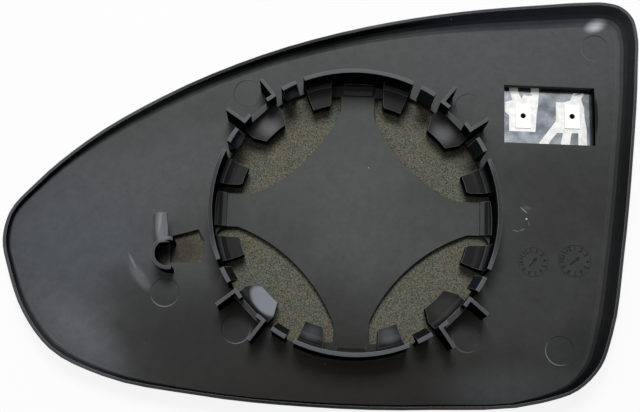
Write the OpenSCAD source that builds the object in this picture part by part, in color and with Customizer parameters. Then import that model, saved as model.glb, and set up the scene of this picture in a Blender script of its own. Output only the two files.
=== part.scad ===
// Heated door mirror glass, left side, lying on its glass face.
// The origin is on the axis of the actuator ring, in the plane of the glass face, and +Z points to the rear.

/* [Glass] */
// Thickness of the mirror glass
glass_t = 2; // [1.6:0.1:3]
// Gap between the edge of the glass and the lip around it
glass_gap = 0.2; // [0.1:0.05:0.4]
// How far the glass face stands proud of the lip
glass_proud = 0.35; // [0.2:0.05:0.6]

/* [Heater] */
// Thickness of the heater film
film_t = 0.3; // [0.2:0.05:0.5]
// Margin from the edge of the glass to the edge of the film
film_margin = 2; // [1:0.5:4]
// Thickness of the printed conductors
print_t = 0.1; // [0.05:0.05:0.2]
// Width of a heating finger
finger_w = 1.6; // [1:0.2:3]
// Distance from one heating finger to the next
finger_pitch = 7; // [5:0.5:10]
// Width of the bus bar along the edge of the film
bus_w = 3; // [2:0.5:5]
// Thickness of a contact tab
tab_t = 0.25; // [0.15:0.05:0.4]
// Length of a contact tab
tab_l = 8; // [6:0.5:10]
// Width of a contact tab
tab_w = 4.8; // [3:0.2:5]
// Diameter of the hole in a contact tab
tab_hole_d = 1.7; // [1:0.1:2.4]

/* [Adhesive pad] */
// Thickness of the foam pad
pad_t = 1.1; // [0.8:0.1:2]
// Margin from the edge of the glass to the edge of the pad
pad_margin = 1.5; // [1:0.5:4]

/* [Backing plate] */
// Overall length of the rim
plate_w = 192; // [180:1:210]
// Overall height of the rim
plate_h = 128.4; // [120:1:140]
// Thickness of the floor
floor_t = 2; // [1.6:0.1:3]
// Height of the rim above the floor at its narrow end
rim_low = 2; // [1.5:0.1:3]
// Height of the rim above the floor at its wide end
rim_high = 5.5; // [4:0.1:7]
// Width of the top of the rim
rim_t = 0.9; // [0.7:0.1:1.2]
// Thickness of the lip around the glass
lip_t = 1; // [0.8:0.1:1.4]
// Depth of the marks that the mould pins leave
pin_mark_depth = 0.15; // [0.1:0.05:0.3]
// Diameter of the marks that the mould pins leave
pin_mark_d = 8.6; // [6:0.2:10]

/* [Actuator ring] */
// Inner radius of the ring
ring_r = 42; // [40:0.5:44]
// Thickness of the ring wall
ring_wall = 1.2; // [0.8:0.1:1.6]
// Height of the ring above the floor
ring_h = 12.5; // [11:0.5:14]
// Half angle of each long arc
arc_half = 22.8; // [20:0.2:23]

/* [Snap hooks] */
// Angle from the diagonal to a hook
hook_angle = 15.5; // [15:0.1:16]
// Width of a hook
hook_w = 4.6; // [3.6:0.2:5]
// How far the nose of a hook reaches in
nose_reach = 2.1; // [1.4:0.1:2.6]
// Height of the underside of the nose above the seats
nose_gap = 3.6; // [3:0.1:4.5]

/* [Seats] */
// Height of the seats above the floor
seat_z = 3.6; // [3:0.1:4.5]
// How far a seat reaches in from the ring
seat_reach = 7; // [5:0.5:8]
// Radius of the cove between a long arc and its seats
seat_cove = 4; // [3:0.5:5]
// Radius of the cove between a short wall and its seat
mid_cove = 2.3; // [1.5:0.1:2.8]
// Half width of a middle seat at its tip
mid_tip = 3.4; // [2.5:0.1:4.5]
// Half width of a middle seat at its root
mid_root = 6.2; // [5.2:0.1:6.6]
// Thickness of a seat below its top face
seat_t = 4.3; // [3.5:0.1:5]

/* [Fins] */
// Angle from the diagonal to a fin
fin_angle = 8.1; // [7.6:0.1:8.6]
// Thickness of a fin
fin_t = 1; // [0.8:0.1:1.4]
// Length of a fin outward from the ring
fin_l = 6; // [4:0.5:8]
// Drop of the top edge of a fin over its length
fin_drop = 1.7; // [0:0.1:4]
// Length of the return at the root of a fin, along the short wall
post_w = 2.6; // [1.6:0.1:3]
// Thickness of the return at the root of a fin
post_t = 0.8; // [0.6:0.1:1.2]
// Height of the short wall between two fins
short_wall_h = 6; // [5:0.1:8]

/* [Arms] */
// Width of the upright arm
arm_v = 10.5; // [8:0.5:14]
// Width of the level arm
arm_h = 10.4; // [8:0.1:14]
// Shift of the upright arm from the ring axis
arm_dx = 0.35; // [-1:0.05:1]
// Shift of the level arm from the ring axis
arm_dy = 0.9; // [-1:0.05:2]
// Radius of the curved edge of the hub between two arms
hub_curve = 50; // [40:1:70]
// Distance from the ring axis to the curved edge of the hub
hub_r = 22.8; // [18:0.2:26]
// Radius of the corners of the openings
corner_r = 3; // [1:0.5:5]
// Height of the ramp at the root of an arm
step_h = 1.9; // [1:0.1:4]
// Length of the ramp at the root of an arm
step_l = 3.5; // [2:0.1:4]
// Width of the ramp at the root of an upright arm
step_w = 9; // [6:0.2:9.4]
// Width of the relief slot beside each upright ramp
slot_w = 0.8; // [0.5:0.1:1.2]

/* [Heater window] */
// Width of the window over the heater contacts
win_w = 28.4; // [26:0.2:32]
// Height of the window over the heater contacts
win_h = 18.7; // [18:0.1:22]
// Distance of the window centre from the wide end of the rim
win_end = 26.55; // [25.5:0.15:28.5]
// Distance of the window centre from the ring axis across the plate
win_y = 34.9; // [33:0.1:36]
// Gap that the pad leaves around the window
win_gap = 0.4; // [0.2:0.1:1]

/* [Wiring hook] */
// Outer radius of the curled root
curl_r = 4.9; // [4:0.1:6]
// Thickness of the curled root
curl_t = 1; // [0.8:0.1:1.4]
// Height of the curled root above the floor
curl_h = 8; // [6:0.2:10]
// Length of the finger
tongue_l = 9; // [7:0.5:12]
// Width of the finger
tongue_w = 4.2; // [3:0.2:5]
// Thickness of the finger
tongue_t = 1.3; // [1:0.1:1.8]
// Distance of the curled root from the ring wall
hook_off = 11.4; // [10.5:0.1:14]
// Distance of the curled root from the ring axis across the plate
hook_y = -14.4; // [-18:0.2:-12]

/* [Hidden] */
eps = 0.01;

// Heights of the stack, from the glass face up
film_z = glass_t;
print_z = film_z + film_t;
tab_z = print_z + print_t;
pad_z = print_z + print_t;
floor_z = pad_z + pad_t;
top_z = floor_z + floor_t;
ring_z = top_z + ring_h;

// Rim control points for the reference size: x, y, and how far the foot of the rim wall lies inside
ref_w = 192;
ref_h = 128.4;
ref_left = -105;
rim_path = [
    [-104.9, -11, 2], [-103.7, -3, 1.7], [-96.5, 6.6, 1.8], [-82.5, 20, 2.4], [-60, 35.2, 3],
    [-30, 49.8, 3.3], [2.5, 60.3, 4], [32, 66.3, 5.1], [58, 69.5, 6], [71, 70.75, 6.2],
    [77.2, 70.9, 6], [82.1, 69.7, 5.8], [85.7, 66.1, 5.7], [86.95, 61.2, 5.6], [86.8, 50, 5.3],
    [84.6, 22, 5.2], [80.9, -10, 5.3], [76.9, -33.5, 5.1], [73.3, -43, 4.3], [66.6, -49.9, 3.2],
    [56, -53.9, 2], [25, -56.9, 1.7], [-12, -57.3, 1.7], [-45, -55, 1.7], [-72, -50.5, 2.6],
    [-88, -43.2, 2.9], [-96.8, -32.8, 2.7], [-102.4, -20.2, 2.1]
];
rim_steps = 4;
rim_n = len(rim_path) * rim_steps;
scale_x = plate_w / ref_w;
scale_y = plate_h / ref_h;

// Tangent per millimetre at a control point, from its two neighbours
function wrap(i) = rim_path[(i + len(rim_path)) % len(rim_path)];
function gap(a, b) = norm([b[0] - a[0], b[1] - a[1]]);
function slope(i) =
    let (a = wrap(i - 1), b = wrap(i), c = wrap(i + 1), p = gap(a, b), q = gap(b, c))
    ((b - a) / p * q + (c - b) / q * p) / (p + q);

// Cubic curve through the control points
function rim_at(i, t) =
    let (a = wrap(i), b = wrap(i + 1), l = gap(a, b), ta = slope(i) * l, tb = slope(i + 1) * l)
    a * (2 * pow(t, 3) - 3 * pow(t, 2) + 1) + ta * (pow(t, 3) - 2 * pow(t, 2) + t)
    + b * (3 * pow(t, 2) - 2 * pow(t, 3)) + tb * (pow(t, 3) - pow(t, 2));

// Centre of the window along the plate, from the widest point of the rim
win_x = max([for (p = rim_path) p[0]]) * scale_x - win_end;

rim_raw = [
    for (i = [0 : len(rim_path) - 1], s = [0 : rim_steps - 1])
        let (p = rim_at(i, s / rim_steps)) [p[0] * scale_x, p[1] * scale_y, p[2]]
];

// Unit vector to the inside at each point of the rim, which runs clockwise
function inward(i) =
    let (a = rim_raw[(i + rim_n - 1) % rim_n], b = rim_raw[(i + 1) % rim_n], l = gap(a, b))
    [(b[1] - a[1]) / l, -(b[0] - a[0]) / l];
rim_in = [for (i = [0 : rim_n - 1]) inward(i)];

// Height of the rim above the floor, which rises evenly along the plate
function rim_h(i) = rim_low + (rim_high - rim_low) * (rim_raw[i][0] / scale_x - ref_left) / ref_w;
// Depth from the edge of the rim to the outside of the lip
function lip_d(i) = max(0.15, rim_raw[i][2] - lip_t - rim_side);
rim_side = 0.5;
function inset(i, d) = [rim_raw[i][0] + rim_in[i][0] * d, rim_raw[i][1] + rim_in[i][1] * d];

// Outline a given distance inside the outer edge of the lip
function lip_line(d) = [for (i = [0 : rim_n - 1]) inset(i, lip_d(i) + d)];
glass_d = lip_t + glass_gap;

// Share of the wall's spread and height at each turn of its inner face, from the rim down
crease = [0.36, 0.48];
cove = [[0.55, 0.24], [0.76, 0.09]];
root_l = 0.4;

// Closed section of the rim wall and lip at one point, from its upright root on the floor round to the lip
function wall_section(i) =
    let (f = rim_raw[i][2], h = rim_h(i), w = f - rim_t, d = lip_d(i))
    [
        [f + root_l, floor_z],
        [f + root_l, top_z],
        [f, top_z],
        [rim_t + w * cove[1][0], top_z + h * cove[1][1]],
        [rim_t + w * cove[0][0], top_z + h * cove[0][1]],
        [rim_t + w * crease[0], top_z + h * crease[1]],
        [rim_t, top_z + h],
        [0, top_z + h],
        [d, floor_z + floor_t / 4],
        [d, glass_proud],
        [d + lip_t, glass_proud],
        [d + lip_t, floor_z]
    ];
wall_k = 12;
floor_line = [for (i = [0 : rim_n - 1]) inset(i, rim_raw[i][2] + root_l)];

// Rim wall and the lip around the glass, as one skin that runs round the plate
module rim_wall() {
    sections = [for (i = [0 : rim_n - 1]) wall_section(i)];
    points = [
        for (k = [0 : wall_k - 1], i = [0 : rim_n - 1])
            concat(inset(i, sections[i][k][0]), sections[i][k][1])
    ];
    sides = [
        for (k = [0 : wall_k - 1], i = [0 : rim_n - 1], half = [0, 1])
            let (j = (i + 1) % rim_n, a = k * rim_n, b = (k + 1) % wall_k * rim_n)
            half == 0 ? [a + i, b + j, a + j] : [a + i, b + i, b + j]
    ];
    polyhedron(points, sides, convexity = 6);
}

// Angle of each diagonal and of each arm about the ring axis
diagonals = [45, 135, 225, 315];
arms = [0, 90, 180, 270];
ring_out = ring_r + ring_wall;
foot_r = 0.8;

// Wedge between two angles, wide enough to cut the ring
module wedge(a, b) {
    far = 2 * ring_out;
    polygon([[0, 0], [far * cos(a), far * sin(a)], [far * cos((a + b) / 2), far * sin((a + b) / 2)],
             [far * cos(b), far * sin(b)]]);
}

// The four long arcs of the ring, with a fillet at their outer foot
module long_arcs() {
    intersection() {
        rotate_extrude($fn = 160)
            polygon(concat(
                [[ring_r, floor_z], [ring_r, ring_z], [ring_out, ring_z]],
                [for (a = [0 : 18 : 90]) [ring_out + foot_r * (1 - cos(a)), top_z + foot_r * (1 - sin(a))]],
                [[ring_out + foot_r, floor_z]]));
        translate([0, 0, floor_z])
            linear_extrude(height = floor_t + ring_h + 1)
                for (a = arms)
                    wedge(a - arc_half, a + arc_half);
    }
}

// Section of a seat: a cove down from the wall, a level top and a blunt tip
module seat_section(reach, radius) {
    tip = ring_r - reach;
    top = top_z + seat_z;
    mid_wall = ring_r + ring_wall / 2;
    polygon(concat(
        [for (a = [0 : 15 : 90]) [ring_r - radius * (1 - cos(a)), top + radius * (1 - sin(a))]],
        [[tip, top], [tip, top - seat_t], [ring_r, top - seat_t]],
        [[mid_wall, top - seat_t], [mid_wall, top + radius]]));
}
arm_clear = 2.7;
side_v = step_w / 2 + slot_w + arm_clear;

// Seats at the ends of the long arcs, which they end just short of
seat_end = arc_half - 0.4;
module side_seats() {
    tip = ring_r - seat_reach;
    intersection() {
        rotate_extrude($fn = 160)
            seat_section(seat_reach, seat_cove);
        translate([0, 0, floor_z])
            linear_extrude(height = floor_t + ring_h)
                for (a = arms, side = [-1, 1])
                    rotate(a)
                        polygon([
                            [tip - 2, side * (side_v + 0.7)],
                            [tip, side * side_v],
                            [ring_out, side * side_v],
                            [ring_out * cos(seat_end), side * ring_out * sin(seat_end)],
                            [tip * cos(seat_end), side * tip * sin(seat_end)],
                            [tip - 4, side * (tip - 1) * sin(seat_end)]
                        ]);
    }
}

// Seats under the short walls, with both corners of the tip cut off
module mid_seats() {
    intersection() {
        rotate_extrude($fn = 160)
            seat_section(seat_reach, mid_cove);
        translate([0, 0, floor_z])
            linear_extrude(height = floor_t + ring_h)
                for (a = diagonals)
                    rotate(a)
                        polygon([
                            [ring_r - seat_reach - 1, -mid_tip], [ring_r - seat_reach / 2, -mid_root],
                            [ring_out, -mid_root], [ring_out, mid_root],
                            [ring_r - seat_reach / 2, mid_root], [ring_r - seat_reach - 1, mid_tip]
                        ]);
    }
}

// Short straight walls between the fins
module short_walls() {
    chord = ring_r * cos(fin_angle);
    for (a = diagonals)
        rotate(a)
            translate([chord, -ring_r * sin(fin_angle), floor_z])
                cube([ring_out - chord, 2 * ring_r * sin(fin_angle), floor_t + short_wall_h]);
}

// Radial fins, each with a return at its root towards the short wall
fin_in = 0.3;
module fins() {
    for (a = diagonals, side = [-1, 1])
        rotate(a + side * fin_angle) {
            rotate([90, 0, 0])
                translate([0, 0, -fin_t / 2])
                    linear_extrude(height = fin_t)
                        polygon([
                            [ring_r - fin_in, floor_z + eps], [ring_r - fin_in, ring_z],
                            [ring_out, ring_z], [ring_out + fin_l, ring_z - fin_drop],
                            [ring_out + fin_l, floor_z + eps]
                        ]);
            translate([ring_r - fin_in, side > 0 ? -post_w : 0, floor_z])
                cube([post_t + fin_in, post_w, floor_t + ring_h]);
        }
}

// Section of a hook: a straight back and a nose with a long lead-in
module hook_section() {
    under = top_z + seat_z + nose_gap;
    polygon([
        [ring_out, floor_z], [ring_out, ring_z], [ring_r, ring_z], [ring_r - nose_reach, under + 0.6],
        [ring_r - nose_reach, under], [ring_r, under - 0.4], [ring_r, floor_z]
    ]);
}

// Eight snap hooks around the ring
module hooks() {
    half = asin(hook_w / 2 / ring_r);
    intersection() {
        rotate_extrude($fn = 160)
            hook_section();
        translate([0, 0, floor_z])
            linear_extrude(height = floor_t + ring_h + 1)
                for (a = diagonals, side = [-1, 1])
                    wedge(a + side * hook_angle - half, a + side * hook_angle + half);
    }
}

function upright(a) = abs(sin(a)) > 0.5;
// Shift of an arm from the ring axis, across its own direction
function arm_shift(a) = -sin(a) * arm_dx + cos(a) * arm_dy;

// Ramp at the root of each arm: a small step, a slope and a level land at the wall
ramp_sunk = 0.5;
module arm_steps() {
    for (a = arms)
        rotate(a) {
            wide = upright(a) ? step_w : arm_h;
            translate([0, arm_shift(a) + wide / 2, 0])
                rotate([90, 0, 0])
                    linear_extrude(height = wide)
                        polygon([
                            [ring_r - step_l, top_z - ramp_sunk], [ring_r - step_l, top_z + step_h * 0.35],
                            [ring_r - step_l * 0.3, top_z + step_h], [ring_r + ring_wall / 2, top_z + step_h],
                            [ring_r + ring_wall / 2, top_z - ramp_sunk]
                        ]);
        }
}

// The four openings between the arms
module lens_openings() {
    for (a = diagonals)
        offset(r = corner_r, $fn = 24)
            offset(delta = -corner_r)
                intersection() {
                    circle(r = ring_r, $fn = 160);
                    rotate(a)
                        translate([hub_r + hub_curve, 0])
                            circle(r = hub_curve, $fn = 160);
                    translate([arm_dx, arm_dy])
                        scale([sign(cos(a)), sign(sin(a))])
                            translate([arm_v / 2, arm_h / 2])
                                square(2 * ring_r);
                }
}

// Ledges that widen each upright arm at the ring, with a relief slot on each side of the ramp
ledge_l = 3.8;
slot_l = 2.4;
slot_in = 0.4;
module arm_ledges() {
    for (a = arms)
        if (upright(a))
            rotate(a) difference() {
                translate([ring_r - ledge_l, -side_v])
                    square([ledge_l + ring_wall / 2, 2 * side_v]);
                for (side = [-1, 1])
                    translate([ring_r - slot_l - slot_in, arm_shift(a) + side * (step_w + slot_w) / 2])
                        translate([0, -slot_w / 2])
                            square([slot_l, slot_w]);
            }
}

// Plate cut-out beside the wiring hook
hook_x = -(ring_out + hook_off);
cut_w = 9.6;
cut_h = 9.4;
module hook_cutout() {
    translate([hook_x - 0.2, hook_y - 1.6])
        polygon([
            [0, 0], [cut_w, 0], [cut_w + 0.4, cut_h * 0.75], [cut_w - 1.6, cut_h + 1], [0, cut_h - 1.4]
        ]);
}

// Curled root and finger of the wiring hook
module wiring_hook() {
    lean = 8;
    arch = tongue_w * 0.75;
    translate([hook_x, hook_y, 0]) {
        intersection() {
            translate([0, 0, floor_z])
                difference() {
                    cylinder(h = floor_t + curl_h, r = curl_r, $fn = 72);
                    translate([0, 0, -1])
                        cylinder(h = floor_t + curl_h + 2, r = curl_r - curl_t, $fn = 72);
                }
            translate([-2 * curl_r, -2 * curl_r, 0])
                cube([2 * curl_r + 1.2, 4 * curl_r, ring_z]);
        }
        rotate(lean)
            translate([-tongue_w * 0.36, curl_r - 1.6 + tongue_l, top_z + curl_h - arch])
                rotate([90, 0, 0])
                    linear_extrude(height = tongue_l)
                        intersection() {
                            difference() {
                                circle(r = arch, $fn = 48);
                                circle(r = arch - tongue_t, $fn = 48);
                            }
                            translate([-tongue_w / 2, arch * 0.4])
                                square([tongue_w, arch]);
                        }
    }
}

// Window over the heater contacts
module window(grow) {
    translate([win_x - win_w / 2 - grow, win_y - win_h / 2 - grow])
        square([win_w + 2 * grow, win_h + 2 * grow]);
}

// Marks of the mould pins on the floor
pin_marks = [[-55.7, -25], [-34, -35.2], [-34, 38.2], [35.2, 36.6], [34.9, -35.4], [62.6, -38.2], [75, 57.6]];

module backing_plate() {
    color([0.09, 0.09, 0.1]) {
        difference() {
            translate([0, 0, floor_z])
                linear_extrude(height = floor_t)
                    difference() {
                        polygon(floor_line);
                        difference() {
                            lens_openings();
                            arm_ledges();
                        }
                        window(0);
                        hook_cutout();
                    }
            for (p = pin_marks)
                translate([p[0], p[1], top_z - pin_mark_depth])
                    cylinder(h = 1, d = pin_mark_d, $fn = 48);
        }
        long_arcs();
        side_seats();
        mid_seats();
        short_walls();
        fins();
        hooks();
        arm_steps();
        wiring_hook();
        rim_wall();
    }
}

module mirror_glass() {
    color([0.8, 0.83, 0.85])
        linear_extrude(height = glass_t)
            polygon(lip_line(glass_d));
}

module heater_film() {
    color([0.72, 0.72, 0.76])
        translate([0, 0, film_z])
            linear_extrude(height = film_t)
                offset(delta = -film_margin)
                    polygon(lip_line(glass_d));
}

// Edge of the glass above and below a point on the level axis through the narrow end
split_y = -8;
edge_up = [for (p = lip_line(glass_d)) if (p[1] > split_y) p];
edge_low = [for (p = lip_line(glass_d)) if (p[1] < split_y) p];
bus_d = film_margin + 3;

// Height of the middle of the upper or lower bus bar at a point along the plate
function bus_y(x, up) = up ? lookup(x, edge_up) - bus_d - bus_w / 2 : lookup(x, edge_low) + bus_d + bus_w / 2;

// Ends of the bus bars: from the ring axis at the narrow end, from the window centre at the wide end
bus_left = -82;
bus_right_up = 7.6;
bus_right_low = 1.6;
bus_steps = 44;
// Clear length beyond the tip of a finger and beside the window
finger_clear = 3;

// Bus bar along one long side of the film, with heating fingers that reach towards the other
module comb(up) {
    left = bus_left * scale_x;
    right = win_x + (up ? bus_right_up : bus_right_low);
    xs = [for (k = [0 : bus_steps]) left + (right - left) * k / bus_steps];
    polygon(concat([for (x = xs) [x, bus_y(x, up) - bus_w / 2]],
                   [for (k = [bus_steps : -1 : 0]) [xs[k], bus_y(xs[k], up) + bus_w / 2]]));
    first = left + finger_clear + (up ? 0 : finger_pitch / 2);
    for (x = [first : finger_pitch : win_x - win_w / 2 - finger_w - finger_clear]) {
        root = bus_y(x, up);
        tip = bus_y(x, !up) + (up ? 1 : -1) * (bus_w / 2 + finger_clear);
        translate([x, min(root, tip)])
            square([finger_w, abs(root - tip)]);
    }
}

// Place in the window of a point that is given from its centre, for the reference window
ref_win = [28.4, 18.7];
function in_win(p) = [win_x + p[0] * win_w / ref_win[0], win_y + p[1] * win_h / ref_win[1]];

// Centre of each contact tab
tab_left = in_win([-7.7, 0.4]);
tab_right = in_win([7.8, 0.8]);

// Contact area of the upper conductor from its left leg round to its right leg
area_up = [[-12, 8.9], [-11.8, 8.2], [-11, 5.5], [-13.4, 4.8], [-13.4, 1.5], [-12.1, 0.5], [-12.1, -4.7],
           [-3.8, -4.7], [-3.4, 0.9], [-2.9, 4.2], [-2.6, 8.5]];
// Fork between the two upper legs
fork_up = [[-5.1, 8.4], [-5.4, 7.8], [-7.3, 7.7], [-8.1, 6], [-9.2, 8.3]];

// Printed conductor with the two upper legs, seen in the window
module heater_bus_upper() {
    area = [for (p = area_up) in_win(p)];
    fork = [for (p = fork_up) in_win(p)];
    leg = bus_y(area[0][0] + finger_clear, true);
    color([0.9, 0.9, 0.88])
        translate([0, 0, print_z])
            linear_extrude(height = print_t)
                difference() {
                    union() {
                        comb(true);
                        polygon(concat(
                            [[area[0][0], leg]], area, [[area[len(area) - 1][0], leg], [fork[0][0], leg]],
                            fork, [[fork[len(fork) - 1][0], leg]]));
                    }
                    tab_hole(tab_left);
                }
}

// Contact area of the lower conductor, from its left leg up and round to its right leg
area_low = [[12.4, -3.4], [11.8, 0.5], [11.7, 3.8], [11.1, 5.4], [10.8, 6.8], [11.8, 8.5], [8.3, 8.5],
            [7.3, 6.1], [5, 5.4], [2.8, 5.4], [2.7, -0.8], [-2.7, -8.2]];
// Gaps between the lower legs: two points at the top and two where they reach their full width
leg_gaps = [[[3, -4.7], [0.4, -8], [4.2, -8], [4.9, -4.7]], [[7.6, -4.6], [7, -8], [9.7, -8], [9.7, -4.6]]];
// Feet of the legs: distance from the window centre and height above the middle of the bus bar there
leg_feet = [[0.6, -1], [7, 0], [12.4, 18]];
left_foot = -2.4;
// Height of the lower ends of the gaps above the middle of the bus bar there
gap_foot = 20;

// Printed conductor with the three lower legs, seen in the window
module heater_bus_lower() {
    area = [for (p = area_low) in_win(p)];
    left = area[len(area) - 1][0];
    leg = bus_y(win_x, false);
    color([0.9, 0.9, 0.88])
        translate([0, 0, print_z])
            linear_extrude(height = print_t)
                difference() {
                    union() {
                        comb(false);
                        polygon(concat(area, [[left, leg + left_foot]], [
                            for (f = leg_feet)
                                let (x = in_win([f[0], 0])[0]) [x, bus_y(x, false) + f[1]]
                        ]));
                    }
                    for (gap = leg_gaps) {
                        top = [for (p = gap) in_win(p)];
                        foot = bus_y(top[2][0], false) + gap_foot;
                        polygon([top[0], top[1], [top[1][0], foot], [top[2][0], foot], top[2], top[3]]);
                    }
                    tab_hole(tab_right);
                }
}

module tab_hole(at) {
    translate(at)
        circle(d = tab_hole_d, $fn = 32);
}

// Contact tab on the printed conductor
module contact(at) {
    translate([0, 0, tab_z])
        linear_extrude(height = tab_t)
            difference() {
                translate([at[0] - tab_w / 2, at[1] - tab_l / 2])
                    square([tab_w, tab_l]);
                tab_hole(at);
            }
}

module contact_left() {
    color([0.93, 0.93, 0.9])
        contact(tab_left);
}

module contact_right() {
    color([0.93, 0.93, 0.9])
        contact(tab_right);
}

module adhesive_pad() {
    color([0.36, 0.36, 0.31])
        translate([0, 0, pad_z])
            linear_extrude(height = pad_t)
                difference() {
                    offset(delta = -pad_margin)
                        polygon(lip_line(glass_d));
                    window(win_gap);
                }
}

backing_plate();
mirror_glass();
heater_film();
heater_bus_upper();
heater_bus_lower();
contact_left();
contact_right();
adhesive_pad();
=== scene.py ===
import math

import bmesh
import bpy
from mathutils import Matrix, Vector


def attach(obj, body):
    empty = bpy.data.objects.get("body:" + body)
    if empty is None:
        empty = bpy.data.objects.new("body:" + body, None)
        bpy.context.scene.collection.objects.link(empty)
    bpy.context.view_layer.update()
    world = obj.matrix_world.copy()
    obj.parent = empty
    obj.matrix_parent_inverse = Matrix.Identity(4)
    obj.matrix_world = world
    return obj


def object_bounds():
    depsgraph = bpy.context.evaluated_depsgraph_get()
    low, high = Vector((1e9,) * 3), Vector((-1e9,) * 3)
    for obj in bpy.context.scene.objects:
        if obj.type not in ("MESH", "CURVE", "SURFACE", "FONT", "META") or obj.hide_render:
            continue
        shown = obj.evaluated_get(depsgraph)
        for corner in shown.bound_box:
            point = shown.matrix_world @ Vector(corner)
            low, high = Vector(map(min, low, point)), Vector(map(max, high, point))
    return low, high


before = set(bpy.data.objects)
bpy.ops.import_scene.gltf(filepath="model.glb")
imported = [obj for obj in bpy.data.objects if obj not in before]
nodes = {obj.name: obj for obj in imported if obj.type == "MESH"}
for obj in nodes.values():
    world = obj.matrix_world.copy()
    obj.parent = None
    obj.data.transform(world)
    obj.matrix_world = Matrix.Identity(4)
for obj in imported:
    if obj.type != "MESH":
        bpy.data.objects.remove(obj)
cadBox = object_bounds()
mm = 0.001
floorTop = 5.5   # rear face of the plate's floor above the glass face, mm


def fromHex(code):
    # sRGB hex to linear, with alpha
    out = []
    for i in (1, 3, 5):
        c = int(code[i:i + 2], 16) / 255
        out.append(c / 12.92 if c <= 0.04045 else ((c + 0.055) / 1.055) ** 2.4)
    return (*out, 1.0)


def addNode(tree, kind, settings=None, links=None, values=None):
    # One node, with its own settings, what feeds its sockets and the values of the others
    node = tree.nodes.new(kind)
    for name, value in (settings or {}).items():
        setattr(node, name, value)
    for name, value in (values or {}).items():
        node.inputs[name].default_value = value
    for name, source in (links or {}).items():
        tree.links.new(source, node.inputs[name])
    return node


def newMaterial(name):
    # A material with its output and object coordinates, ready for a shader
    mat = bpy.data.materials.new(name)
    mat.use_nodes = True
    tree = mat.node_tree
    tree.nodes.clear()
    out = addNode(tree, "ShaderNodeOutputMaterial")
    coords = addNode(tree, "ShaderNodeTexCoord").outputs["Object"]
    return mat, tree, out, coords


print("stage: camera and light")

cameraView = {
    "place": (-0.01393, -0.06609, 0.31981),
    "turn": (12.385, -1.102, 1.978),   # degrees about X, Y and Z
    "lens": 59.35, "sensor": 36, "nearest": 0.01,
}
cam = bpy.data.objects.new("camera", bpy.data.cameras.new("camera"))
cam.data.lens = cameraView["lens"]
cam.data.sensor_width = cameraView["sensor"]
cam.data.clip_start = cameraView["nearest"]
cam.location = cameraView["place"]
cam.rotation_euler = [math.radians(a) for a in cameraView["turn"]]
bpy.context.scene.collection.objects.link(cam)
bpy.context.scene.camera = cam
bpy.context.scene.view_settings.view_transform = "Standard"

lamps = {   # both are turned towards the origin
    "key": {"from": (-0.05, 0.42, 0.85), "size": 0.35, "power": 7.8, "tint": "#f8f9fc"},
    "fill": {"from": (-0.4, -0.02, 0.85), "size": 0.6, "power": 1.4, "tint": "#fff8ee"},
}


def makeLamp(name, setting):
    data = bpy.data.lights.new(name, "AREA")
    data.size = setting["size"]
    data.energy = setting["power"]
    data.color = fromHex(setting["tint"])[:3]
    lamp = bpy.data.objects.new(name, data)
    lamp.location = setting["from"]
    lamp.rotation_euler = (-Vector(setting["from"])).to_track_quat("-Z", "Y").to_euler()
    bpy.context.scene.collection.objects.link(lamp)


for lampName, lampSetting in lamps.items():
    makeLamp(lampName, lampSetting)

sky = {"white": "#ffffff", "ambient": "#e8ecf2", "ambientLevel": 0.1}


def shownWhite(tree):
    # 1 for camera, glossy and transmission rays, which see a white surround
    path = addNode(tree, "ShaderNodeLightPath").outputs
    first = addNode(tree, "ShaderNodeMath", {"operation": "MAXIMUM"},
                    links={0: path["Is Camera Ray"], 1: path["Is Glossy Ray"]})
    return addNode(tree, "ShaderNodeMath", {"operation": "MAXIMUM"},
                   links={0: first.outputs[0], 1: path["Is Transmission Ray"]}).outputs[0]


def makeSky():
    world = bpy.data.worlds.new("studio")
    world.use_nodes = True
    tree = world.node_tree
    tree.nodes.clear()
    ambient = addNode(tree, "ShaderNodeBackground", values={
        "Color": fromHex(sky["ambient"]), "Strength": sky["ambientLevel"]})
    white = addNode(tree, "ShaderNodeBackground", values={"Color": fromHex(sky["white"])})
    mix = addNode(tree, "ShaderNodeMixShader",
                  links={0: shownWhite(tree), 1: ambient.outputs[0], 2: white.outputs[0]})
    addNode(tree, "ShaderNodeOutputWorld", links={"Surface": mix.outputs[0]})
    bpy.context.scene.world = world


makeSky()

board = {
    "half": 1.2, "colour": "#f2f2f2",
    "drop": 0.00002,   # keeps the board clear of the glass face
    "glow": 0.88,      # share of plain white in what a camera sees
}


def makeFloor():
    bm = bmesh.new()
    bmesh.ops.create_grid(bm, x_segments=1, y_segments=1, size=board["half"])
    bmesh.ops.translate(bm, verts=bm.verts, vec=(0, 0, cadBox[0][2] - board["drop"]))
    mesh = bpy.data.meshes.new("floor")
    bm.to_mesh(mesh)
    bm.free()
    obj = bpy.data.objects.new("floor", mesh)
    bpy.context.scene.collection.objects.link(obj)
    mat, tree, out, _ = newMaterial("pale painted board")
    paint = addNode(tree, "ShaderNodeBsdfDiffuse", values={"Color": fromHex(board["colour"])})
    white = addNode(tree, "ShaderNodeEmission", values={"Color": fromHex(sky["white"])})
    share = addNode(tree, "ShaderNodeMath", {"operation": "MULTIPLY"},
                    links={0: shownWhite(tree)}, values={1: board["glow"]})
    mix = addNode(tree, "ShaderNodeMixShader",
                  links={0: share.outputs[0], 1: paint.outputs[0], 2: white.outputs[0]})
    tree.links.new(mix.outputs[0], out.inputs["Surface"])
    mesh.materials.append(mat)


makeFloor()

print("stage: materials")

noiseSpan = (0.35, 0.65)   # noise values between which a pattern runs from one tone to the other
bevelSamples = 6


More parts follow.
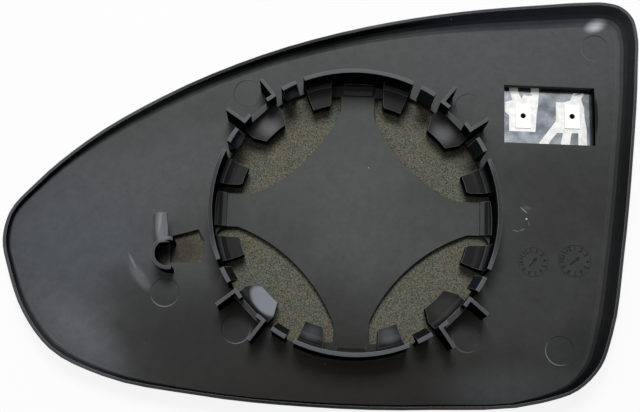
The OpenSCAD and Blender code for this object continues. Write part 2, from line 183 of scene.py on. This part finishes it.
def cloudTones(tree, coords, setting):
    # Soft clouds between a low and a high tone, and the noise behind them
    noise = addNode(tree, "ShaderNodeTexNoise", links={"Vector": coords}, values={
        "Scale": 1 / (setting["cloud"] * mm), "Detail": setting["cloudDetail"]}).outputs["Fac"]
    share = addNode(tree, "ShaderNodeMapRange", links={"Value": noise},
                    values={"From Min": noiseSpan[0], "From Max": noiseSpan[1]})
    tone = addNode(tree, "ShaderNodeMix", {"data_type": "RGBA"}, links={0: share.outputs[0]},
                   values={6: fromHex(setting["low"]), 7: fromHex(setting["high"])}).outputs[2]
    return tone, noise


def paintSpots(tree, coords, tone, spots):
    # Soft oval patches over a tone. A spot has its centre and half lengths in mm, its turn in
    # degrees, the share of the half lengths over which it fades, its colour and its strength
    for centre, half, turn, fade, code, strength in spots:
        oval = addNode(tree, "ShaderNodeMapping", {"vector_type": "TEXTURE"},
                       links={"Vector": coords}, values={
                           "Location": [c * mm for c in centre],
                           "Rotation": (0, 0, math.radians(turn)),
                           "Scale": [h * mm for h in half]})
        reach = addNode(tree, "ShaderNodeVectorMath", {"operation": "LENGTH"},
                        links={0: oval.outputs[0]})
        share = addNode(tree, "ShaderNodeMapRange", {"interpolation_type": "SMOOTHSTEP"},
                        links={"Value": reach.outputs["Value"]}, values={
                            "From Min": 1 - fade, "From Max": 1, "To Min": strength, "To Max": 0})
        tone = addNode(tree, "ShaderNodeMix", {"data_type": "RGBA"},
                       links={0: share.outputs[0], 6: tone}, values={7: fromHex(code)}).outputs[2]
    return tone


def paintArcs(tree, coords, tone, arcs):
    # A painted highlight: a pale crescent on the lit side of the rim of each round mark, which has
    # its centre and radius in mm, its lit side in degrees and its strength
    for centre, radius, side, strength in arcs["marks"]:
        local = addNode(tree, "ShaderNodeMapping", {"vector_type": "TEXTURE"},
                        links={"Vector": coords}, values={
                            "Location": [c * mm for c in centre],
                            "Rotation": (0, 0, math.radians(side)),
                            "Scale": (radius * mm, radius * mm, 1)})
        reach = addNode(tree, "ShaderNodeVectorMath", {"operation": "LENGTH"},
                        links={0: local.outputs[0]})
        band = addNode(tree, "ShaderNodeMath", {"operation": "COMPARE"},
                       links={0: reach.outputs["Value"]},
                       values={1: 1.0, 2: arcs["width"] / radius / 2})
        along = addNode(tree, "ShaderNodeSeparateXYZ", links={0: local.outputs[0]})
        lit = addNode(tree, "ShaderNodeMapRange", links={"Value": along.outputs["X"]}, values={
            "From Min": arcs["from"], "From Max": 1, "To Min": 0, "To Max": strength})
        share = addNode(tree, "ShaderNodeMath", {"operation": "MULTIPLY"},
                        links={0: band.outputs[0], 1: lit.outputs[0]})
        tone = addNode(tree, "ShaderNodeMix", {"data_type": "RGBA"},
                       links={0: share.outputs[0], 6: tone},
                       values={7: fromHex(arcs["colour"])}).outputs[2]
    return tone


def findEdges(tree, trueNormal, setting):
    # The bevel node turns the normal near an edge. That tells where the edge is, and the turned
    # normal makes the edge look round
    bevel = addNode(tree, "ShaderNodeBevel", {"samples": bevelSamples},
                    values={"Radius": setting["edge"] * mm})
    bend = addNode(tree, "ShaderNodeVectorMath", {"operation": "DOT_PRODUCT"},
                   links={0: bevel.outputs["Normal"], 1: trueNormal})
    share = addNode(tree, "ShaderNodeMapRange", links={"Value": bend.outputs["Value"]}, values={
        "From Min": setting["edgeBend"][0], "From Max": setting["edgeBend"][1],
        "To Min": 0, "To Max": setting["edgeShare"]})
    return share.outputs[0], bevel.outputs["Normal"]


def toneAbove(tree, tone, code, share, height, limit):
    # A colour laid over a tone by its share, but only above a height in mm
    above = addNode(tree, "ShaderNodeMath", {"operation": "GREATER_THAN"},
                    links={0: height}, values={1: limit * mm})
    held = addNode(tree, "ShaderNodeMath", {"operation": "MULTIPLY"},
                   links={0: share, 1: above.outputs[0]})
    return addNode(tree, "ShaderNodeMix", {"data_type": "RGBA"},
                   links={0: held.outputs[0], 6: tone}, values={7: fromHex(code)}).outputs[2]


blackAbs = {   # sizes and heights in mm
    "name": "black ABS, moulded", "ior": 1.53, "specular": 0.08,
    "roughness": (0.4, 0.5), "roughSpan": (0.3, 0.7),
    "low": "#383938", "high": "#474948", "cloud": 24, "cloudDetail": 4,
    "blotch": 3.5, "blotchDetail": 6, "blotchRough": 0.78,
    "blotchDepth": 0.16, "blotchSpan": (0.3, 0.7),
    # Painted shade: steep faces above wallFrom are darkened towards the wall tone
    "wall": "#0c0e13", "wallFrom": 5.7, "wallShare": 0.93,
    "slope": (0.35, 0.85),   # Z of the normal, up to which a face is a wall and from which it isn't
    # Painted sheen: faces turned up above topSheenFrom get the lighter top tone
    "top": "#545659", "topSheenFrom": 15.9, "topSheenSlope": 0.8,
    # Painted highlight: edges above edgeFrom get the lighter edge tone
    "edgeGlint": "#7e8184", "edge": 0.3, "edgeFrom": 6.4, "edgeShare": 0.8,
    "edgeBend": (0.995, 0.88),   # the turned normal along the true one: no edge, full edge
    "dust": "#a09e98", "dustCell": 11,
    "dustSize": (0.012, 0.02),   # full and faded out, in shares of a cell
    "grain": 0.45, "grainDetail": 3, "bump": 0.25, "bumpDepth": 0.02,
    # Painted sheen and shade on the floor: darker towards the lower side and the wide end, lighter
    # at the upper right, the narrow end, the hub and along the upper rim. The last two ovals are
    # real scuffs
    "sheenShadeAndScuffs": [
        ((4, -74, 5), (120, 66, 1000), 0, 0.64, "#201f1d", 1.0),            # lower side
        ((84, -6, 5), (62, 71, 1000), 0, 0.72, "#21221f", 0.55),            # wide end
        ((60, 64, 5), (83, 50, 1000), 0, 0.76, "#494b4b", 1.0),             # upper right
        ((-84, -10, 5), (40, 34, 1000), 15, 0.9, "#4b4f55", 0.85),          # narrow end
        ((-45, 33, 5), (15, 8, 1000), 25, 0.8, "#373838", 0.6),             # upper left
        ((-62, 12, 5), (40, 22, 1000), 20, 0.9, "#4d4f50", 0.6),
        ((-46, -36, 5), (30, 22, 1000), 10, 0.8, "#202020", 0.75),          # lower left
        ((-64, -26, 5), (16, 9, 1000), -30, 0.8, "#2b2c2c", 0.6),
        ((-80, -38, 5), (26, 11, 1000), -42, 0.9, "#5c5f64", 0.8),
        ((46, -50, 5), (26, 11, 1000), 5, 0.9, "#3e4041", 0.8),             # lower right
        ((70, -37, 5), (14, 12, 1000), 0, 0.8, "#1c1d1e", 0.5),
        ((0, 6, 5), (28, 30, 1000), 0, 0.8, "#4d504e", 0.6),                # hub
        ((46, 65.6, 5), (44, 4.2, 1000), 5, 0.5, "#2c323c", 0.7),           # along the upper rim
        ((-63.6, -20.4, 5), (7.4, 2.3, 1000), -52, 0.7, "#66696c", 0.6),    # scuff
        ((-66.0, -16.0, 5), (3.6, 0.5, 1000), -60, 0.8, "#8b8e90", 0.5),
    ],
    # Painted shade on all seats, inside the curled root and on the side of the window; painted
    # glints and highlights on single seats, on the upper and lower seats and in the rim's corner
    "seats": [
        ((0, 0, 8.4), (70, 70, 2.1), 0, 0.1, "#0b0b0d", 1.0),               # all seats
        ((-25.5, -27.0, 9.1), (6.4, 3.6, 1.7), -45, 0.3, "#7f838c", 1.0),   # glint on one
        ((-57.4, -13.9, 5.5), (3.2, 4.2, 1.2), 0, 0.4, "#0d0d0d", 0.95),    # inside the curled root
        ((-26.4, 26.4, 9.1), (5, 5, 2), 45, 0.9, "#5c5d5b", 0.9),           # upper seats
        ((26.4, 26.4, 9.1), (5, 5, 2), 45, 0.9, "#5c5d60", 0.9),
        ((11.0, -35.8, 9.1), (4.4, 3.8, 2), 0, 0.8, "#4a4b4e", 0.9),        # lower seats
        ((-11.3, -36.0, 9.1), (4.0, 3.4, 2), 0, 0.8, "#3b3e40", 0.9),
        ((27.0, -27.0, 9.1), (6.4, 4.6, 2), 45, 0.8, "#2c2c2a", 0.9),
        ((74.9, 35.2, 3.9), (1.6, 13, 1.9), 0, 0.1, "#0b0b0c", 1.0),        # side of the window
        ((75.2, 64.9, 7.5), (4.8, 2.7, 6), 20, 1.0, "#cdd1d9", 1.0),        # glint in the rim
    ],
    # Painted light on the short walls and painted glints on the finger; the ring's side arcs darker
    # and the finger lighter; real scratches and a speck
    "paintedLightAndScratches": [
        ((-43, 2, 17.5), (6, 24, 2.4), 0, 0.5, "#232425", 0.9),             # arcs of the ring
        ((43, 2, 17.5), (6, 24, 2.4), 0, 0.5, "#2b2c2d", 0.9),
        ((-20.7, 36.6, 12), (4.0, 3.4, 5), 0, 0.5, "#6a6b73", 0.9),         # short walls, painted light
        ((-36.4, 20.8, 12), (4.0, 4.0, 5), 0, 0.5, "#5f6167", 0.9),
        ((-56.3, -5.8, 18), (4.4, 9, 7), 0, 0.2, "#6d7074", 0.9),           # finger and its glints
        ((-57.5, -5.2, 18), (0.9, 7.5, 7), -3, 1.0, "#a9acb1", 1.0),
        ((-55.5, -6.2, 18), (0.7, 6.5, 7), 4, 1.0, "#a5a8ac", 1.0),
        ((52.1, 4.2, 5.5), (1.7, 0.26, 1), -42, 0.5, "#8f8d88", 0.8),       # scratches
        ((53.2, 5.0, 5.5), (2.2, 0.9, 1), -10, 0.9, "#5a5b5a", 0.5),
        ((49.6, -2.3, 5.5), (1.2, 0.2, 1), -14, 0.4, "#807e79", 0.6),
        ((51.6, -1.9, 5.5), (1.2, 0.2, 1), 22, 0.4, "#807e79", 0.6),
        ((53.6, 0.1, 5.5), (0.2, 1.0, 1), 12, 0.4, "#716f6b", 0.5),
        ((52.9, 1.5, 5.5), (0.35, 0.35, 1), 0, 0.5, "#cfcdc6", 0.9),        # speck
    ],
    "arcs": {
        "width": 0.34, "colour": "#7b7d7e",
        "from": 0.1,   # share of the radius towards the lit side, where a crescent starts
        "marks": [((62.6, -38.2, 5), 4.3, 215, 0.9), ((-55.7, -25, 5), 4.3, 265, 0.7),
                  ((-34, -35.2, 5), 4.3, 300, 0.6), ((34.9, -35.4, 5), 4.3, 230, 0.35),
                  ((-34, 38.2, 5), 4.3, 60, 0.3), ((35.2, 36.6, 5), 4.3, 60, 0.3),
                  ((75, 57.6, 5), 4.3, 200, 0.4)],
    },
}
# The same plastic for the arrows and numbers of the dials, darker as painted shade and without
# marks.
# No edge of theirs gets the painted highlight, because edgeFrom lies above the whole part
dialShadeAbs = dict(blackAbs, name="black ABS, moulded, painted shade", low="#161717", high="#1e1f20",
               sheenShadeAndScuffs=[], seats=[], paintedLightAndScratches=[], arcs=dict(blackAbs["arcs"], marks=[]), edgeFrom=20)


def addBlotches(tree, coords, tone, setting):
    # Small blotches that make the skin lighter and darker by the same share
    blotch = addNode(tree, "ShaderNodeTexNoise", links={"Vector": coords}, values={
        "Scale": 1 / (setting["blotch"] * mm), "Detail": setting["blotchDetail"],
        "Roughness": setting["blotchRough"]})
    gain = addNode(tree, "ShaderNodeMapRange", links={"Value": blotch.outputs["Fac"]}, values={
        "From Min": setting["blotchSpan"][0], "From Max": setting["blotchSpan"][1],
        "To Min": 1 - setting["blotchDepth"], "To Max": 1 + setting["blotchDepth"]})
    return addNode(tree, "ShaderNodeVectorMath", {"operation": "SCALE"},
                   links={0: tone, "Scale": gain.outputs[0]}).outputs[0]


def addDust(tree, coords, tone, setting):
    # A pale speck in the middle of each cell
    cells = addNode(tree, "ShaderNodeTexVoronoi", links={"Vector": coords},
                    values={"Scale": 1 / (setting["dustCell"] * mm)})
    speck = addNode(tree, "ShaderNodeMapRange", links={"Value": cells.outputs["Distance"]}, values={
        "From Min": setting["dustSize"][0], "From Max": setting["dustSize"][1],
        "To Min": 1, "To Max": 0})
    return addNode(tree, "ShaderNodeMix", {"data_type": "RGBA"},
                   links={0: speck.outputs[0], 6: tone},
                   values={7: fromHex(setting["dust"])}).outputs[2]


def makeBlackAbs(setting):
    # Black ABS, injection moulded: a satin skin with flow clouds, scuffs and dust specks, painted
    # sheen and shade over the floor and seats, painted shade on the walls, and painted highlights
    # on edges
    mat, tree, out, coords = newMaterial(setting["name"])
    tone, cloud = cloudTones(tree, coords, setting)
    tone = paintSpots(tree, coords, tone, setting["sheenShadeAndScuffs"])
    tone = addBlotches(tree, coords, tone, setting)
    tone = paintArcs(tree, coords, tone, setting["arcs"])
    tone = paintSpots(tree, coords, tone, setting["seats"])

    height = addNode(tree, "ShaderNodeSeparateXYZ", links={0: coords}).outputs["Z"]
    trueNormal = addNode(tree, "ShaderNodeNewGeometry").outputs["True Normal"]
    upward = addNode(tree, "ShaderNodeSeparateXYZ", links={0: trueNormal}).outputs["Z"]
    slope = addNode(tree, "ShaderNodeMath", {"operation": "ABSOLUTE"}, links={0: upward})
    # Painted shade on steep walls
    steep = addNode(tree, "ShaderNodeMapRange", links={"Value": slope.outputs[0]}, values={
        "From Min": setting["slope"][0], "From Max": setting["slope"][1],
        "To Min": setting["wallShare"], "To Max": 0})
    tone = toneAbove(tree, tone, setting["wall"], steep.outputs[0], height, setting["wallFrom"])
    # Painted sheen on upward faces high up
    facesUp = addNode(tree, "ShaderNodeMath", {"operation": "GREATER_THAN"}, links={0: upward},
                      values={1: setting["topSheenSlope"]})
    tone = toneAbove(tree, tone, setting["top"], facesUp.outputs[0], height, setting["topSheenFrom"])
    tone = paintSpots(tree, coords, tone, setting["paintedLightAndScratches"])

    # Painted highlight along the edges
    edgeGlintShare, roundNormal = findEdges(tree, trueNormal, setting)
    tone = toneAbove(tree, tone, setting["edgeGlint"], edgeGlintShare, height, setting["edgeFrom"])
    tone = addDust(tree, coords, tone, setting)

    # Steep walls keep little sheen, so that they don't mirror the film or the white surround
    sheen = addNode(tree, "ShaderNodeMapRange", links={"Value": slope.outputs[0]}, values={
        "From Min": setting["slope"][0], "From Max": setting["slope"][1],
        "To Min": 0, "To Max": setting["specular"]})
    rough = addNode(tree, "ShaderNodeMapRange", links={"Value": cloud}, values={
        "From Min": setting["roughSpan"][0], "From Max": setting["roughSpan"][1],
        "To Min": setting["roughness"][0], "To Max": setting["roughness"][1]})
    grain = addNode(tree, "ShaderNodeTexNoise", links={"Vector": coords}, values={
        "Scale": 1 / (setting["grain"] * mm), "Detail": setting["grainDetail"]})
    bump = addNode(tree, "ShaderNodeBump",
                   links={"Height": grain.outputs["Fac"], "Normal": roundNormal},
                   values={"Strength": setting["bump"], "Distance": setting["bumpDepth"] * mm})
    shader = addNode(tree, "ShaderNodeBsdfPrincipled", values={"IOR": setting["ior"]}, links={
        "Base Color": tone, "Specular IOR Level": sheen.outputs[0],
        "Roughness": rough.outputs[0], "Normal": bump.outputs["Normal"]})
    tree.links.new(shader.outputs[0], out.inputs["Surface"])
    return mat


foam = {
    "name": "adhesive foam, cut", "roughness": 0.95, "specular": 0.1,
    "green": ("#383a30", "#727566"), "warm": ("#3f3c33", "#777365"),   # dark and pale specks
    "speck": 0.4, "speckDetail": 4,
    "cast": 6, "castDetail": 2, "castSpan": (0.4, 0.6),
    "bump": 0.4, "bumpDepth": 0.1,
    "shade": [((-50.5, -12, 4), (9, 8, 1000), 0, 0.8, "#3a3830", 0.75)],   # painted shadow of the hook
}


def makeFoam(setting):
    # Polyurethane foam, cut: fine pale and dark specks with faint warm and green patches, and a
    # painted shadow beside the hook
    mat, tree, out, coords = newMaterial(setting["name"])
    speck = addNode(tree, "ShaderNodeTexNoise", links={"Vector": coords}, values={
        "Scale": 1 / (setting["speck"] * mm), "Detail": setting["speckDetail"]}).outputs["Fac"]
    cast = addNode(tree, "ShaderNodeTexNoise", links={"Vector": coords}, values={
        "Scale": 1 / (setting["cast"] * mm), "Detail": setting["castDetail"]}).outputs["Fac"]
    grain = addNode(tree, "ShaderNodeMapRange", links={"Value": speck},
                    values={"From Min": noiseSpan[0], "From Max": noiseSpan[1]})
    patch = addNode(tree, "ShaderNodeMapRange", links={"Value": cast}, values={
        "From Min": setting["castSpan"][0], "From Max": setting["castSpan"][1]})
    greenTone, warmTone = [
        addNode(tree, "ShaderNodeMix", {"data_type": "RGBA"}, links={0: grain.outputs[0]},
                values={6: fromHex(dark), 7: fromHex(pale)}).outputs[2]
        for dark, pale in (setting["green"], setting["warm"])]
    tone = addNode(tree, "ShaderNodeMix", {"data_type": "RGBA"},
                   links={0: patch.outputs[0], 6: greenTone, 7: warmTone}).outputs[2]
    tone = paintSpots(tree, coords, tone, setting["shade"])
    bump = addNode(tree, "ShaderNodeBump", links={"Height": speck},
                   values={"Strength": setting["bump"], "Distance": setting["bumpDepth"] * mm})
    shader = addNode(tree, "ShaderNodeBsdfPrincipled",
                     links={"Base Color": tone, "Normal": bump.outputs["Normal"]}, values={
                         "Roughness": setting["roughness"],
                         "Specular IOR Level": setting["specular"]})
    tree.links.new(shader.outputs[0], out.inputs["Surface"])
    return mat


film = {
    "name": "polyester film, metallised", "roughness": 0.16,
    "low": "#64696f", "high": "#969ba1", "cloud": 4.5, "cloudDetail": 3,
    "holes": [((52.7, 35.3, 2.3), (0.95, 0.95, 1), 0, 0.15, "#0e0e0e", 1.0),
              ((68.2, 35.7, 2.3), (0.95, 0.95, 1), 0, 0.15, "#0e0e0e", 1.0)],
}


def makeFilm(setting):
    # Polyester film, metallised: a dull grey mirror with faint clouds, black inside the holes of
    # the tabs
    mat, tree, out, coords = newMaterial(setting["name"])
    tone, _ = cloudTones(tree, coords, setting)
    tone = paintSpots(tree, coords, tone, setting["holes"])
    shader = addNode(tree, "ShaderNodeBsdfPrincipled", links={"Base Color": tone},
                     values={"Metallic": 1.0, "Roughness": setting["roughness"]})
    tree.links.new(shader.outputs[0], out.inputs["Surface"])
    return mat


ink = {
    "name": "silver ink, printed", "roughness": 0.6, "metallic": 0.3,
    "low": "#c9c9c7", "high": "#dededb", "cloud": 1.5, "cloudDetail": 3,
    "edgeShade": "#bdbdba", "edge": 0.1, "edgeBend": (0.995, 0.9), "edgeShare": 0.8,
    "marks": [((54.5, 42.3, 2.4), (1.6, 0.22, 1), 0, 0.4, "#3a3b3c", 0.8),
              ((70.3, 43.1, 2.4), (1.7, 0.22, 1), 18, 0.4, "#3a3b3c", 0.8)],
}
strip = {
    "name": "tinned strip, rolled", "roughness": 0.5, "metallic": 0.3,
    "low": "#e2e2de", "high": "#eeeeea", "cloud": 2.5, "cloudDetail": 3,
    "edgeShade": "#8c8c88", "edge": 0.25, "edgeBend": (0.995, 0.9), "edgeShare": 0.8,
    "marks": [],
}


def makeSilver(setting):
    # Silver ink or tinned strip: matt and nearly white, a little uneven, with a greyer outline of
    # painted shade along the edges
    mat, tree, out, coords = newMaterial(setting["name"])
    tone, _ = cloudTones(tree, coords, setting)
    tone = paintSpots(tree, coords, tone, setting["marks"])
    trueNormal = addNode(tree, "ShaderNodeNewGeometry").outputs["True Normal"]
    atEdge, _ = findEdges(tree, trueNormal, setting)
    # Painted shade: a greyer line along the edges
    tone = addNode(tree, "ShaderNodeMix", {"data_type": "RGBA"}, links={0: atEdge, 6: tone},
                   values={7: fromHex(setting["edgeShade"])}).outputs[2]
    shader = addNode(tree, "ShaderNodeBsdfPrincipled", links={"Base Color": tone}, values={
        "Roughness": setting["roughness"], "Metallic": setting["metallic"]})
    tree.links.new(shader.outputs[0], out.inputs["Surface"])
    return mat


coat = {
    "name": "float glass, silvered", "colour": "#dfe6e8", "roughness": (0.02, 0.06),
    "smear": 30, "smearDetail": 4,
}


def makeCoat(setting):
    # Float glass, silvered: a clear, faintly cool mirror with slight smears
    mat, tree, out, coords = newMaterial(setting["name"])
    smear = addNode(tree, "ShaderNodeTexNoise", links={"Vector": coords}, values={
        "Scale": 1 / (setting["smear"] * mm), "Detail": setting["smearDetail"]})
    rough = addNode(tree, "ShaderNodeMapRange", links={"Value": smear.outputs["Fac"]}, values={
        "To Min": setting["roughness"][0], "To Max": setting["roughness"][1]})
    shader = addNode(tree, "ShaderNodeBsdfPrincipled", links={"Roughness": rough.outputs[0]},
                     values={"Base Color": fromHex(setting["colour"]), "Metallic": 1.0})
    tree.links.new(shader.outputs[0], out.inputs["Surface"])
    return mat


plastic = makeBlackAbs(blackAbs)
dialShadedPlastic = makeBlackAbs(dialShadeAbs)
silver = makeSilver(ink)
tinned = makeSilver(strip)
finishes = {
    "backing_plate": plastic, "adhesive_pad": makeFoam(foam), "heater_film": makeFilm(film),
    "mirror_glass": makeCoat(coat), "heater_bus_upper": silver, "heater_bus_lower": silver,
    "contact_left": tinned, "contact_right": tinned,
}
for nodeName, obj in nodes.items():
    obj.data.materials.clear()
    obj.data.materials.append(finishes[nodeName])

print("stage: date dials")

# Sizes in mm, turns in degrees
monthDial = {"name": "monthDial", "centre": (54.8, -11.7), "turn": 10, "height": 0.08,
             "radius": 4.6, "band": 0.2, "digit": 1.7, "reach": 2.2, "pointer": 50}
yearDial = {"name": "yearDial", "centre": (67.5, -10.9), "turn": 0, "height": 0.12,
            "radius": 5.0, "band": 0.22, "digit": 1.9, "reach": 2.4, "pointer": 38}
dialPrint = {
    "sunk": 0.03,                    # how deep the print is rooted in the floor
    "numbers": 12, "outward": 0.1,   # beyond the middle between arrow and ring
    "hoopSteps": 48, "curveSteps": 2,
    "mergeGap": 0.0001,
    "arrow": [(-0.8, -0.08), (0.3, -0.08), (0.3, -0.28), (0.85, 0), (0.3, 0.28), (0.3, 0.08),
              (-0.8, 0.08)],         # in shares of its reach
}


def addHoop(bm, outer, band, low, high):
    # Thin flat ring about the Z axis, spun from its section
    inner = outer - band
    section = [bm.verts.new((x * mm, 0, z * mm))
               for x, z in ((inner, low), (outer, low), (outer, high), (inner, high))]
    edges = [bm.edges.new(ends) for ends in zip(section, section[1:] + section[:1])]
    bmesh.ops.spin(bm, geom=section + edges, cent=(0, 0, 0), axis=(0, 0, 1), angle=2 * math.pi,
                   steps=dialPrint["hoopSteps"], use_merge=True)


def addArrow(bm, reach, turn, low, high):
    # Flat arrow, extruded from its outline
    spin = Matrix.Rotation(math.radians(turn), 3, "Z")
    face = bm.faces.new([bm.verts.new(spin @ Vector((x * reach * mm, y * reach * mm, low * mm)))
                         for x, y in dialPrint["arrow"]])
    grown = bmesh.ops.extrude_face_region(bm, geom=[face])["geom"]
    top = [part for part in grown if isinstance(part, bmesh.types.BMVert)]
    bmesh.ops.translate(bm, verts=top, vec=(0, 0, (high - low) * mm))


def addNumber(bm, number, size, away, turn, low, high):
    # A plain number that stands on the circle, away from the centre
    curve = bpy.data.curves.new("number", "FONT")
    curve.body = str(number)
    curve.size = size * mm
    curve.extrude = (high - low) / 2 * mm
    curve.resolution_u = dialPrint["curveSteps"]
    curve.align_x = "CENTER"
    curve.align_y = "CENTER"
    holder = bpy.data.objects.new("number", curve)
    mesh = bpy.data.meshes.new_from_object(holder)
    bpy.data.objects.remove(holder)
    bpy.data.curves.remove(curve)
    angle = math.radians(turn)
    spot = Matrix.Translation((away * math.sin(-angle) * mm, away * math.cos(angle) * mm,
                               (low + high) / 2 * mm))
    mesh.transform(spot @ Matrix.Rotation(angle, 4, "Z"))
    bm.from_mesh(mesh)
    bpy.data.meshes.remove(mesh)


def makeDial(dial):
    # Print of a date insert in the mould: a thin ring, and an arrow and numbers in a darker tone of
    # painted shade
    low = floorTop - dialPrint["sunk"]
    high = floorTop + dial["height"]
    bm = bmesh.new()
    addHoop(bm, dial["radius"], dial["band"], low, high)
    hoopFaces = len(bm.faces)
    addArrow(bm, dial["reach"], dial["pointer"], low, high)
    away = (dial["radius"] + dial["reach"]) / 2 + dialPrint["outward"]
    for k in range(dialPrint["numbers"]):
        turn = dial["turn"] - 360 / dialPrint["numbers"] * k
        addNumber(bm, k + 1, dial["digit"], away, turn, low, high)
    bm.faces.ensure_lookup_table()
    for face in bm.faces[hoopFaces:]:
        face.material_index = 1   # dialShadedPlastic
    bmesh.ops.translate(bm, verts=bm.verts, vec=[c * mm for c in (*dial["centre"], 0)])
    bmesh.ops.remove_doubles(bm, verts=bm.verts, dist=dialPrint["mergeGap"] * mm)
    bmesh.ops.recalc_face_normals(bm, faces=bm.faces)
    mesh = bpy.data.meshes.new(dial["name"])
    bm.to_mesh(mesh)
    bm.free()
    mesh.materials.append(plastic)
    mesh.materials.append(dialShadedPlastic)
    obj = bpy.data.objects.new(dial["name"], mesh)
    bpy.context.scene.collection.objects.link(obj)
    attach(obj, "root")


makeDial(monthDial)
makeDial(yearDial)

print("stage: finish")
